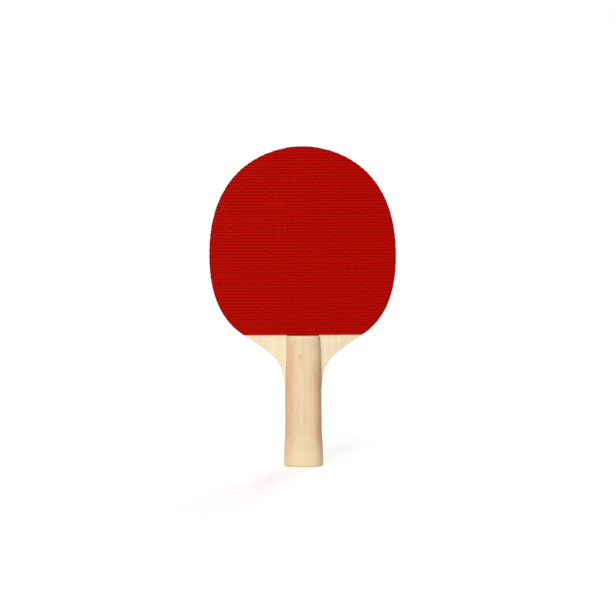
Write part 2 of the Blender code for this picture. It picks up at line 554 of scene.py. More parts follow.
class EffectGroup:
    """A shader node group that more than one material uses, built once."""

    name = "effect"
    colours: tuple[str, ...] = ()
    numbers: tuple[str, ...] = ()
    outputs: tuple[tuple[str, str], ...] = (
        ("Color", "NodeSocketColor"),
        ("Roughness", "NodeSocketFloat"),
        ("Height", "NodeSocketFloat"),
    )

    def tree(self) -> bpy.types.NodeTree:
        """The group's node tree, made the first time it is asked for.

        Returns:
            The tree.
        """
        known = bpy.data.node_groups.get(self.name)
        if known:
            return known
        tree = bpy.data.node_groups.new(self.name, "ShaderNodeTree")
        tree.interface.new_socket("Vector", in_out="INPUT", socket_type="NodeSocketVector")
        for name in self.colours:
            tree.interface.new_socket(name, in_out="INPUT", socket_type="NodeSocketColor")
        for name in self.numbers:
            tree.interface.new_socket(name, in_out="INPUT", socket_type="NodeSocketFloat")
        for name, kind in self.outputs:
            tree.interface.new_socket(name, in_out="OUTPUT", socket_type=kind)
        bench = NodeBench(tree)
        given = bench.add("NodeGroupInput").outputs
        results = bench.add("NodeGroupOutput").inputs
        for name, value in self.draw(bench, given).items():
            bench.feed(results[name], value)
        return tree

    def draw(self, bench: NodeBench, given: bpy.types.NodeOutputs) -> Surface:
        """Draws the effect inside the group.

        Args:
            bench: Where the nodes go.
            given: The group's inputs by name.

        Returns:
            A socket for each of the group's outputs.
        """
        raise NotImplementedError

    def place(self, bench: NodeBench, vector: Socket, values: dict[str, object]) -> Surface:
        """Puts the group into a material.

        Args:
            bench: The material's bench.
            vector: Where the effect is read.
            values: The group's other inputs by name.

        Returns:
            The group's outputs by name.
        """
        node = bench.add("ShaderNodeGroup", node_tree=self.tree())
        bench.feed(node.inputs["Vector"], vector)
        for name, value in values.items():
            bench.feed(node.inputs[name], value)
        return {name: node.outputs[name] for name, _ in self.outputs}


class WoodGrain(EffectGroup):
    """Solid wood whose fibres run along Z, read in millimetres: tints, growth rings, fibres and pores.

    A stretch says how many of a pattern's features fit in a millimetre along X, Y and Z, and a noise
    is given by its scale, its detail and its swirl.
    """

    name = "wood_grain"
    colours = ("Pale", "Rosy", "Golden", "Late Wood")
    numbers = ("Tint Strength", "Ring Strength", "Fibre Strength", "Pore Strength", "End Grain")
    rosy_stretch: Triple = (0.12, 0.12, 0.028)
    golden_stretch: Triple = (-0.15, 0.15, 0.022)
    tint_noise: Triple = (1.0, 3.0, 0.6)
    rosy_range: Pair = (0.50, 0.68)
    golden_range: Pair = (0.50, 0.66)
    ring_stretch: Triple = (1.0, 1.0, 0.06)
    ring_wave: tuple[tuple[str, float], ...] = (
        ("Scale", 0.085),
        ("Distortion", 5.0),
        ("Detail", 2.0),
        ("Detail Scale", 0.8),
        ("Detail Roughness", 0.55),
    )
    ring_sharpness: float = 2.5
    fibre_stretch: Triple = (3.6, 3.6, 0.05)
    fibre_noise: Pair = (1.0, 4.0)
    streak_stretch: Triple = (0.9, 0.9, 0.02)
    pore_stretch: Triple = (2.2, 2.2, 0.16)
    pore_range: Pair = (0.10, 0.24)
    pore_patch_noise: Pair = (0.35, 1.0)
    pore_patch_range: Pair = (0.42, 0.62)
    pore_depth: float = 0.8
    sanded_roughness: float = 0.55
    fibre_roughness: float = 0.25
    end_roughness: float = 0.35
    pore_roughness: float = 0.15

    def draw(self, bench: NodeBench, given: bpy.types.NodeOutputs) -> Surface:
        """Draws the grain.

        Args:
            bench: Where the nodes go.
            given: The group's inputs by name.

        Returns:
            A socket for each of the group's outputs.
        """
        vector = given["Vector"]
        base = given["Pale"]
        for tint, stretch, reach in (
            ("Rosy", self.rosy_stretch, self.rosy_range),
            ("Golden", self.golden_stretch, self.golden_range),
        ):
            clouds = bench.noise_value(bench.stretched(vector, stretch), *self.tint_noise)
            share = bench.calculate("MULTIPLY", bench.ranged(clouds, *reach), given["Tint Strength"])
            base = bench.blended(share, base, given[tint])

        rings = bench.add("ShaderNodeTexWave", wave_type="RINGS", rings_direction="Z")
        bench.feed(rings.inputs["Vector"], bench.stretched(vector, self.ring_stretch))
        for name, number in self.ring_wave:
            bench.feed(rings.inputs[name], number)
        late = bench.calculate("POWER", rings.outputs["Fac"], self.ring_sharpness)
        late = bench.calculate("MULTIPLY", late, given["Ring Strength"])
        base = bench.blended(late, base, given["Late Wood"])

        fibre = bench.noise_value(bench.stretched(vector, self.fibre_stretch), *self.fibre_noise)
        streak = bench.noise_value(bench.stretched(vector, self.streak_stretch), 1.0)
        swing = bench.calculate("SUBTRACT", bench.calculate("ADD", fibre, streak), 1.0)
        shade = bench.calculate("MULTIPLY_ADD", swing, given["Fibre Strength"], 1.0)
        base = bench.brightened(base, shade)

        cells = bench.cell_distance(bench.stretched(vector, self.pore_stretch))
        pore = bench.ranged(cells, *self.pore_range, 1.0, 0.0)
        patches = bench.noise_value(vector, *self.pore_patch_noise)
        sparse = bench.ranged(patches, *self.pore_patch_range)
        pore = bench.calculate("MULTIPLY", pore, sparse)
        dark = bench.calculate("MULTIPLY", pore, given["Pore Strength"])
        base = bench.blended(dark, base, given["Late Wood"])
        base = bench.blended(given["End Grain"], base, given["Late Wood"])

        rough = bench.calculate("MULTIPLY_ADD", swing, self.fibre_roughness, self.sanded_roughness)
        rough = bench.calculate("MULTIPLY_ADD", given["End Grain"], self.end_roughness, rough)
        rough = bench.calculate("MULTIPLY_ADD", pore, self.pore_roughness, rough, clamp=True)
        height = bench.calculate("SUBTRACT", fibre, bench.calculate("MULTIPLY", pore, self.pore_depth))
        return {"Color": base, "Roughness": rough, "Height": height}


class MouldedRubber(EffectGroup):
    """Moulded rubber, read in millimetres: slow clouds, a fine mould grain, a little bloom and lint, and
    painted shade along the cut rim.

    A noise is given by its scale, its detail and its swirl.
    """

    name = "moulded_rubber"
    colours = ("Body", "Bloom")
    numbers = ("Cloud Strength", "Bloom Strength", "Lint Strength", "Rim Shade Strength")
    cloud_noise: Triple = (0.035, 3.0, 0.4)
    patch_noise: Triple = (0.11, 4.0, 0.8)
    patch_range: Pair = (0.48, 0.72)
    lint_stretch: Triple = (0.9, 0.9, 0.45)
    lint_range: Pair = (0.05, 0.11)
    grain_noise: Pair = (6.0, 3.0)
    moulded_roughness: float = 0.52
    grain_roughness: float = 0.3
    bloom_roughness: float = 0.12

    def draw(self, bench: NodeBench, given: bpy.types.NodeOutputs) -> Surface:
        """Draws the rubber.

        Args:
            bench: Where the nodes go.
            given: The group's inputs by name.

        Returns:
            A socket for each of the group's outputs.
        """
        vector = given["Vector"]
        clouds = bench.noise_value(vector, *self.cloud_noise)
        swing = bench.calculate("SUBTRACT", clouds, 0.5)
        shade = bench.calculate("MULTIPLY_ADD", swing, given["Cloud Strength"], 1.0)
        base = bench.brightened(given["Body"], shade)

        patches = bench.ranged(bench.noise_value(vector, *self.patch_noise), *self.patch_range)
        bloom = bench.calculate("MULTIPLY", patches, given["Bloom Strength"])
        base = bench.blended(bloom, base, given["Bloom"])

        specks = bench.cell_distance(bench.stretched(vector, self.lint_stretch))
        lint = bench.ranged(specks, *self.lint_range, 1.0, 0.0)
        lint = bench.calculate("MULTIPLY", lint, given["Lint Strength"])
        base = bench.blended(lint, base, given["Bloom"])

        # Painted shade: the rubber darkens towards its cut rim, by the rim attribute on the piece.
        rim = bench.add("ShaderNodeAttribute", attribute_name=RIM).outputs["Fac"]
        rim = bench.calculate("MULTIPLY", rim, given["Rim Shade Strength"])
        base = bench.brightened(base, bench.calculate("SUBTRACT", 1.0, rim))

        grain = bench.noise_value(vector, *self.grain_noise)
        swing = bench.calculate("SUBTRACT", grain, 0.5)
        rough = bench.calculate("MULTIPLY_ADD", swing, self.grain_roughness, self.moulded_roughness)
        rough = bench.calculate("MULTIPLY_ADD", patches, self.bloom_roughness, rough, clamp=True)
        return {"Color": base, "Roughness": rough, "Height": grain}


class FoamCells(EffectGroup):
    """Foam rubber, read in millimetres: round cells with dark mouths between pale walls."""

    name = "foam_cells"
    colours = ("Wall", "Mouth")
    numbers = ("Mouth Strength",)
    cell_scale: float = 4.5
    mouth_range: Pair = (0.12, 0.55)
    wall_scale: float = 9.0
    wall_range: Pair = (0.2, 0.8)
    wall_height: float = 0.3
    shade_scale: float = 0.08
    shade_range: Pair = (0.3, 0.7)
    shades: Pair = (0.93, 1.04)
    roughnesses: Pair = (0.82, 0.97)

    def draw(self, bench: NodeBench, given: bpy.types.NodeOutputs) -> Surface:
        """Draws the foam.

        Args:
            bench: Where the nodes go.
            given: The group's inputs by name.

        Returns:
            A socket for each of the group's outputs.
        """
        vector = given["Vector"]
        cells = bench.cell_distance(vector, self.cell_scale)
        mouth = bench.ranged(cells, *self.mouth_range, 1.0, 0.0)
        fine = bench.noise_value(vector, self.wall_scale)
        clouds = bench.noise_value(vector, self.shade_scale)
        base = bench.brightened(given["Wall"], bench.ranged(clouds, *self.shade_range, *self.shades))
        dark = bench.calculate("MULTIPLY", mouth, given["Mouth Strength"])
        base = bench.blended(dark, base, given["Mouth"])
        rough = bench.ranged(fine, *self.wall_range, *self.roughnesses)
        height = bench.calculate("SUBTRACT", bench.calculate("MULTIPLY", fine, self.wall_height), mouth)
        return {"Color": base, "Roughness": rough, "Height": height}


class Finish:
    """A material: one Principled shader that an effect group feeds."""

    name: str
    slot: str
    specular: float
    bump_strength: float = 0.4
    bump_depth: float = 0.02 * MM

    def effect(self, bench: NodeBench, vector: Socket) -> Surface:
        """The surface's Color, Roughness and Height.

        Args:
            bench: The material's bench.
            vector: The place on the piece, in millimetres.

        Returns:
            The three sockets by name.
        """
        raise NotImplementedError

    def turn(self) -> Triple:
        """How the pattern is turned on the piece."""
        return (0.0, 0.0, 0.0)

    def shift(self) -> Triple:
        """Where the pattern starts on the piece, in millimetres."""
        return (0.0, 0.0, 0.0)

    def material(self) -> bpy.types.Material:
        """The material, made the first time it is asked for.

        Returns:
            The material.
        """
        known = bpy.data.materials.get(self.name)
        if known:
            return known
        made = bpy.data.materials.new(self.name)
        bench = emptied_bench(made)
        shader = bench.add("ShaderNodeBsdfPrincipled")
        output = bench.add("ShaderNodeOutputMaterial")
        bench.feed(output.inputs["Surface"], shader.outputs["BSDF"])
        place = bench.add("ShaderNodeTexCoord").outputs["Object"]
        mapping = bench.add("ShaderNodeMapping")
        bench.feed(mapping.inputs["Vector"], place)
        bench.feed(mapping.inputs["Location"], self.shift())
        bench.feed(mapping.inputs["Rotation"], self.turn())
        bench.feed(mapping.inputs["Scale"], (1 / MM, 1 / MM, 1 / MM))
        surface = self.effect(bench, mapping.outputs["Vector"])
        bump = bench.add("ShaderNodeBump")
        bench.feed(bump.inputs["Strength"], self.bump_strength)
        bench.feed(bump.inputs["Distance"], self.bump_depth)
        bench.feed(bump.inputs["Height"], surface["Height"])
        bench.feed(shader.inputs["Base Color"], surface["Color"])
        bench.feed(shader.inputs["Roughness"], surface["Roughness"])
        bench.feed(shader.inputs["Normal"], bump.outputs["Normal"])
        bench.feed(shader.inputs["Specular IOR Level"], self.specular)
        return made


@dataclass(frozen=True)
class WoodFinish(Finish):
    """Bare or thinly sealed wood, with hand soil and painted shade on its sides, painted light at its ends
    and a pin knot where it has them.

    Faces are picked by how far they face along an axis, and a reach is given in heights above the butt.
    """

    name: str
    slot: str
    pale: Rgba
    rosy: Rgba
    golden: Rgba
    late: Rgba
    grain: Grain = Grain.UPRIGHT
    heart: Triple = (0.0, 0.0, 0.0)
    tints: float = 0.7
    rings: float = 0.3
    fibres: float = 0.16
    pores: float = 0.4
    specular: float = 0.3
    end_shade: float = 0.55
    left_soil_and_shade: float = 0.0
    right_soil_and_shade: float = 0.0
    left_top_soil_and_shade: float = 1.0
    right_top_soil_and_shade: float = 1.0
    soil_and_shade: Rgba = colour(200, 128, 66)
    painted_light_end: float = 0.0
    painted_light_top: float = 0.0
    painted_light_colour: Rgba = colour(255, 240, 206)
    knot: Triple | None = None
    knot_colour: Rgba = colour(170, 142, 112)
    end_faces: Pair = (0.55, 0.95)
    left_faces: Pair = (-0.44, 0.0)
    right_faces: Pair = (0.16, 0.62)
    soil_and_shade_reach: Pair = (66 * MM, 92 * MM)
    soil_and_shade_noise: Triple = (0.14, 3.0, 0.5)
    soil_and_shade_range: Pair = (0.25, 0.75)
    soil_and_shade_patches: Pair = (0.7, 1.0)
    painted_light_end_reach: Pair = (2 * MM, 34 * MM)
    painted_light_top_reach: Pair = (103.5 * MM, 104.1 * MM)
    knot_size: Triple = (2.6 * MM, 20 * MM, 3.6 * MM)
    knot_noise: Pair = (1.1, 3.0)
    knot_raggedness: float = 0.9
    knot_range: Pair = (0.35, 1.45)
    knot_share: float = 0.30

    def turn(self) -> Triple:
        """Turns the pattern so that its fibres run as the grain does."""
        return (0.0, QUARTER_TURN if self.grain is Grain.ACROSS else 0.0, 0.0)

    def shift(self) -> Triple:
        """Moves the heart of the tree away from the piece."""
        return self.heart

    def effect(self, bench: NodeBench, vector: Socket) -> Surface:
        """Places the grain, then hand soil with painted shade, painted light at the ends and a pin knot
        where there are any.

        Args:
            bench: The material's bench.
            vector: The place on the piece, in millimetres.

        Returns:
            The surface's Color, Roughness and Height.
        """
        ends = bench.calculate("ABSOLUTE", bench.part_of("Normal", self.grain.value))
        values = {
            "Pale": self.pale,
            "Rosy": self.rosy,
            "Golden": self.golden,
            "Late Wood": self.late,
            "Tint Strength": self.tints,
            "Ring Strength": self.rings,
            "Fibre Strength": self.fibres,
            "Pore Strength": self.pores,
            "End Grain": bench.ranged(ends, *self.end_faces, 0.0, self.end_shade),
        }
        surface = WoodGrain().place(bench, vector, values)
        # Hand soil and painted shade: the sides darken as they turn away along X.
        if self.left_soil_and_shade or self.right_soil_and_shade:
            share = self.soil_and_shade_mask(bench, vector)
            surface["Color"] = bench.blended(share, surface["Color"], self.soil_and_shade)
        # Painted light: the colour turns paler towards the butt and at the scale's top end.
        if self.painted_light_end:
            height = bench.part_of("Object", "Z")
            butt = bench.ranged(height, *self.painted_light_end_reach, self.painted_light_end, 0.0)
            top = bench.ranged(height, *self.painted_light_top_reach, 0.0, self.painted_light_top)
            share = bench.calculate("ADD", butt, top)
            surface["Color"] = bench.blended(share, surface["Color"], self.painted_light_colour)
        if self.knot:
            surface["Color"] = bench.blended(self.knot_mask(bench), surface["Color"], self.knot_colour)
        return surface

    def soil_and_shade_mask(self, bench: NodeBench, vector: Socket) -> Socket:
        """Where hand soil and painted shade darken the two sides, in patches.

        Args:
            bench: The material's bench.
            vector: The place on the piece, in millimetres.

        Returns:
            The share of hand soil and painted shade in the colour.
        """
        clouds = bench.noise_value(vector, *self.soil_and_shade_noise)
        patchy = bench.ranged(clouds, *self.soil_and_shade_range, *self.soil_and_shade_patches)
        # Painted shade: surfaces turned to the left or right take the darker colour, each side by its own
        # strength, in the patches of hand soil.
        facing = bench.part_of("Normal", "X")
        left = bench.ranged(facing, *self.left_faces, self.left_soil_and_shade, 0.0)
        right = bench.ranged(facing, *self.right_faces, 0.0, self.right_soil_and_shade)
        reach = (bench.part_of("Object", "Z"), *self.soil_and_shade_reach, 1.0)
        left = bench.calculate("MULTIPLY", left, bench.ranged(*reach, self.left_top_soil_and_shade))
        right = bench.calculate("MULTIPLY", right, bench.ranged(*reach, self.right_top_soil_and_shade))
        return bench.calculate("MULTIPLY", bench.calculate("ADD", left, right), patchy)

    def knot_mask(self, bench: NodeBench) -> Socket:
        """A soft spot at the knot's place, longer along the fibres and ragged at its edge.

        Args:
            bench: The material's bench.

        Returns:
            The knot's share of the colour.
        """
        place = bench.add("ShaderNodeTexCoord").outputs["Object"]
        mapping = bench.add("ShaderNodeMapping", vector_type="TEXTURE")
        bench.feed(mapping.inputs["Vector"], place)
        bench.feed(mapping.inputs["Location"], self.knot)
        bench.feed(mapping.inputs["Scale"], self.knot_size)
        ragged = bench.noise_value(mapping.outputs["Vector"], *self.knot_noise)
        length = bench.add("ShaderNodeVectorMath", operation="LENGTH")
        bench.feed(length.inputs[0], mapping.outputs["Vector"])
        reach = bench.calculate("MULTIPLY_ADD", ragged, self.knot_raggedness, length.outputs["Value"])
        return bench.ranged(reach, *self.knot_range, self.knot_share, 0.0)


@dataclass(frozen=True)
class RubberFinish(Finish):
    """Pimpled rubber of one colour."""

    name: str
    slot: str
    body: Rgba
    bloom: Rgba
    clouds: float = 0.10
    bloom_share: float = 0.10
    lint: float = 0.10
    rim_shade: float = 0.40
    specular: float = 0.2

    def effect(self, bench: NodeBench, vector: Socket) -> Surface:
        """Places the moulded rubber.

        Args:
            bench: The material's bench.
            vector: The place on the piece, in millimetres.

        Returns:
            The surface's Color, Roughness and Height.
        """
        values = {
            "Body": self.body,
            "Bloom": self.bloom,
            "Cloud Strength": self.clouds,
            "Bloom Strength": self.bloom_share,
            "Lint Strength": self.lint,
            "Rim Shade Strength": self.rim_shade,
        }
        return MouldedRubber().place(bench, vector, values)


@dataclass(frozen=True)
class FoamFinish(Finish):
    """The sponge's cut foam."""

    name: str
    slot: str
    wall: Rgba
    mouth: Rgba
    mouths: float = 0.6
    specular: float = 0.15
    bump_depth: float = 0.12 * MM

    def effect(self, bench: NodeBench, vector: Socket) -> Surface:
        """Places the foam's cells.

        Args:
            bench: The material's bench.
            vector: The place on the piece, in millimetres.

        Returns:
            The surface's Color, Roughness and Height.
        """
        values = {"Wall": self.wall, "Mouth": self.mouth, "Mouth Strength": self.mouths}
        return FoamCells().place(bench, vector, values)


@dataclass(frozen=True)
class GlueAndShadeFinish(Finish):
    """Cured glue between two layers; the same clouded colours also make the bead of painted shade above
    each scale.
    """

    name: str
    slot: str
    film: Rgba
    grime_and_shade: Rgba
    specular: float = 0.4
    cloud_noise: Triple = (0.4, 4.0, 0.5)
    grime_range: Pair = (0.35, 0.75)
    grime_share: float = 0.7
    gloss_range: Pair = (0.3, 0.7)
    roughnesses: Pair = (0.35, 0.6)

    def effect(self, bench: NodeBench, vector: Socket) -> Surface:
        """Clouds the film with a little grime.

        Args:
            bench: The material's bench.
            vector: The place on the piece, in millimetres.

        Returns:
            The surface's Color, Roughness and Height.
        """
        clouds = bench.noise_value(vector, *self.cloud_noise)
        share = bench.ranged(clouds, *self.grime_range, 0.0, self.grime_share)
        return {
            "Color": bench.blended(share, self.film, self.grime_and_shade),
            "Roughness": bench.ranged(clouds, *self.gloss_range, *self.roughnesses),
            "Height": clouds,
        }


# The face veneer's side edges darken with hand soil and painted shade.
FACE_VENEER = WoodFinish(
    name="face_veneer_wood",
    slot="face_veneer",
    pale=colour(243, 227, 194),
    rosy=colour(242, 219, 191),
    golden=colour(236, 225, 182),
    late=colour(224, 198, 156),
    heart=(46.0, 70.0, 0.0),
    tints=0.8,
    rings=0.20,
    fibres=0.06,
    pores=0.20,
    left_soil_and_shade=0.35,
    right_soil_and_shade=0.35,
    soil_and_shade=colour(196, 172, 138),
)
CROSS_VENEER = WoodFinish(
    name="cross_veneer_wood",
    slot="cross_veneer",
    pale=colour(205, 172, 128),
    rosy=colour(196, 158, 116),
    golden=colour(200, 170, 118),
    late=colour(158, 122, 82),
    grain=Grain.ACROSS,
    heart=(20.0, 55.0, 30.0),
)
CORE_WOOD = WoodFinish(
    name="core_ply_wood",
    slot="core_wood",
    pale=colour(230, 206, 165),
    rosy=colour(224, 196, 158),
    golden=colour(222, 200, 150),
    late=colour(188, 152, 108),
    heart=(-25.0, 62.0, 0.0),
    fibres=0.22,
)
# Its sides darken with painted shade and hand soil, the right side more and less towards the top, and its
# butt and top end are painted lighter.
FRONT_SCALE_WOOD = WoodFinish(
    name="front_scale_wood",
    slot="scale_wood",
    pale=colour(237, 210, 172),
    rosy=colour(235, 201, 160),
    golden=colour(229, 204, 153),
    late=colour(208, 170, 124),
    heart=(34.0, 42.0, 60.0),
    tints=0.9,
    rings=0.09,
    fibres=0.06,
    pores=0.26,
    end_shade=0.12,
    left_soil_and_shade=0.46,
    right_soil_and_shade=0.58,
    left_top_soil_and_shade=0.65,
    right_top_soil_and_shade=0.0,
    painted_light_end=0.42,
    painted_light_top=0.85,
    knot=(-2.4 * MM, -11.0 * MM, 88.0 * MM),
)
# Its sides darken evenly with painted shade and hand soil, and its butt is painted lighter.
BACK_SCALE_WOOD = replace(
    FRONT_SCALE_WOOD,
    name="back_scale_wood",
    rosy=colour(240, 201, 164),
    heart=(-52.0, -38.0, 400.0),
    rings=0.20,
    fibres=0.08,
    pores=0.30,
    left_soil_and_shade=0.40,
    right_soil_and_shade=0.40,
    left_top_soil_and_shade=1.0,
    right_top_soil_and_shade=1.0,
    painted_light_end=0.25,
    painted_light_top=0.0,
    knot=None,
)
RED_RUBBER = RubberFinish(
    name="red_pimpled_rubber",
    slot="red_rubber",
    body=colour(195, 9, 1),
    bloom=colour(204, 25, 12),
    bloom_share=0.07,
    lint=0.06,
    specular=0.02,
)
# The base sheet is darker than the pimples: painted shade in the hollows between them.
RED_SHADED_BASE_SHEET = replace(RED_RUBBER, name="red_rubber_shaded_base_sheet", body=colour(174, 7, 0))
BLACK_RUBBER = RubberFinish(
    name="black_pimpled_rubber",
    slot="black_rubber",
    body=colour(30, 30, 31),
    bloom=colour(74, 72, 70),
    bloom_share=0.12,
    specular=0.25,
)
# The base sheet is darker than the pimples: painted shade in the hollows between them.
BLACK_SHADED_BASE_SHEET = replace(BLACK_RUBBER, name="black_rubber_shaded_base_sheet", body=colour(27, 27, 28))
SPONGE_FOAM = FoamFinish(
    name="sponge_foam_rubber",
    slot="sponge_foam",
    wall=colour(238, 184, 88),
    mouth=colour(168, 108, 36),
)
WOOD_GLUE = GlueAndShadeFinish(
    name="wood_glue_film",
    slot="core_wood",
    film=colour(196, 160, 112),
    grime_and_shade=colour(120, 92, 62),
)
# Painted shade: both colours of the bead stand for the dark of the slot between the rubber's cut and the
# scale's top end.
SLOT_SHADE_BEAD = GlueAndShadeFinish(
    name="squeezed_glue_bead",
    slot="core_wood",
    film=colour(158, 90, 58),
    grime_and_shade=colour(122, 66, 44),
)
SHEET_GLUE = GlueAndShadeFinish(
    name="sheet_glue_film",
    slot="sponge_foam",
    film=colour(214, 196, 150),
    grime_and_shade=colour(150, 128, 90),
)


def mesh_of(name: str, form: Form) -> bpy.types.Mesh:
    """Turns a form into a mesh.

    Args:
        name: The mesh's name.
        form: The form, which is used up.

    Returns:
        The mesh.
    """
    mesh = bpy.data.meshes.new(name)
    form.to_mesh(mesh)
    form.free()
    return mesh


def object_of(name: str, data: bpy.types.ID) -> Piece:
    """Puts a mesh, lamp or camera into the scene.

    Args:
        name: The object's name.
        data: What it shows.

    Returns:
        The object, at the origin.
    """
    made = bpy.data.objects.new(name, data)
    bpy.context.scene.collection.objects.link(made)
    return made


def finished_piece(
    name: str, form: Form, finish: Finish, nodes: tuple[str, ...], smooth_to: float = 34.0
) -> Piece:
    """Turns a form into a piece of the racket.

    Args:
        name: The piece's name.
        form: Its shape, in place, which is used up.
        finish: What it is made of.
        nodes: The solids that it stands for.
        smooth_to: The angle in degrees between two faces past which their edge is sharp.

    Returns:
        The new object, riding on the racket.
    """
    mesh = mesh_of(name, form)
    mesh.shade_smooth()
    mesh.set_sharp_from_angle(angle=math.radians(smooth_to))
    mesh.materials.append(finish.material())
    piece = object_of(name, mesh)
    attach(piece, BODY)
    if nodes:
        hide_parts(*nodes)
    LOG.info("%s: %d faces, finish %s", name, len(mesh.polygons), finish.name)
    return piece


def drawn_out(form: Form, face: Face) -> Face:
    """Extrudes a face where it lies, and drops the old one unless it closes the form's first end.

    Args:
        form: The form that the face belongs to.
        face: Its last face.

    Returns:
        The new last face, still in the place of the old one.
    """
    inner = any(len(edge.link_faces) > 1 for edge in face.edges)
    grown = bmesh.ops.extrude_face_region(form, geom=[face])["geom"]
    if inner:
        bmesh.ops.delete(form, geom=[face], context="FACES_ONLY")
    return next(part for part in grown if isinstance(part, Face))


def raised_sheet(loop: Points, levels: list[float]) -> Form:
    """A closed upright sheet.

    Args:
        loop: Its outline as (x, z).
        levels: The y of its first face, of each row of its wall, and of its last face.

    Returns:
        The sheet, its faces pointing out.
    """
    form = bmesh.new()
    face = form.faces.new([form.verts.new((point.x, levels[0], point.y)) for point in loop])
    for below, above in zip(levels, levels[1:]):
        face = drawn_out(form, face)
        bmesh.ops.translate(form, verts=face.verts, vec=(0, above - below, 0))
    bmesh.ops.recalc_face_normals(form, faces=form.faces)
    return form


def edges_at(form: Form, level: float) -> Edges:
    """The edges of a form that lie at one y."""
    return [edge for edge in form.edges if all(abs(v.co.y - level) < TOUCH for v in edge.verts)]


def rounded(form: Form, edges: Edges, width: float, segments: int) -> None:
    """Rounds some of a form's edges.

    Args:
        form: The form.
        edges: The edges.
        width: How far the rounding reaches into each face.
        segments: How many facets it has.
    """
    bmesh.ops.bevel(
        form,
        geom=edges,
        offset=width,
        offset_type="OFFSET",
        affect="EDGES",
        segments=segments,
        profile=0.5,
        material=-1,
    )


def cut_flat(form: Form, place: Vector, outward: Vector) -> None:
    """Cuts off what lies past a plane, and closes the form again.

    Args:
        form: The form.
        place: A point on the plane.
        outward: The direction towards what is cut off.
    """
    cut = bmesh.ops.bisect_plane(
        form,
        geom=[*form.verts, *form.edges, *form.faces],
        dist=CUT_SLACK,
        plane_co=place,
        plane_no=outward,
        clear_outer=True,
    )
    ring = [part for part in cut["geom_cut"] if isinstance(part, bmesh.types.BMEdge)]
    bmesh.ops.edgeloop_fill(form, edges=ring)
    bmesh.ops.recalc_face_normals(form, faces=form.faces)


def share_noise(place: Vector) -> float:
    """A smooth noise from 0 to 1 at a place, with features about one unit across."""
    return 0.5 + 0.5 * noise.noise(place)


@dataclass
class Blade:
    """The five-ply wooden blade, each ply a sheet of its own from the crown to the butt."""

    plan: RacketPlan
    shoulder_rounding: float = 0.45 * MM
    rounding_segments: int = 4
    clearance: float = 0.5 * MM

    def build(self) -> None:
        """Makes all five plies."""
        self.make_ply("core_ply", CORE_WOOD)
        for side in Side:
            self.make_ply(f"{side.word}_cross_ply", CROSS_VENEER)
            self.make_ply(f"{side.word}_face_ply", FACE_VENEER, bare=side)

    def make_ply(self, node: str, finish: WoodFinish, bare: Side | None = None) -> Piece:
        """Makes one ply.

        Args:
            node: The solid that it stands for.
            finish: Its wood.
            bare: The side on which its shoulders lie bare and are sanded round, if they do.

        Returns:
            The ply.
        """
        low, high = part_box(node)
        form = raised_sheet(self.plan.blade_loop(), [low.y, high.y])
        if bare:
            self.sand_shoulders(form, bare.faces(node)[1])
        return finished_piece(f"{node}_sheet", form, finish, (node,))

    def sand_shoulders(self, form: Form, outer_y: float) -> None:
        """Rounds the bare edges between the rubber and the neck.

        Args:
            form: The ply.
            outer_y: Where its outer face lies.
        """
        top = self.plan.rubber_line_z - self.clearance
        bottom = self.plan.neck_z + self.clearance
        level = edges_at(form, outer_y)
        edges = [edge for edge in level if all(bottom < v.co.z < top for v in edge.verts)]
        rounded(form, edges, self.shoulder_rounding, self.rounding_segments)


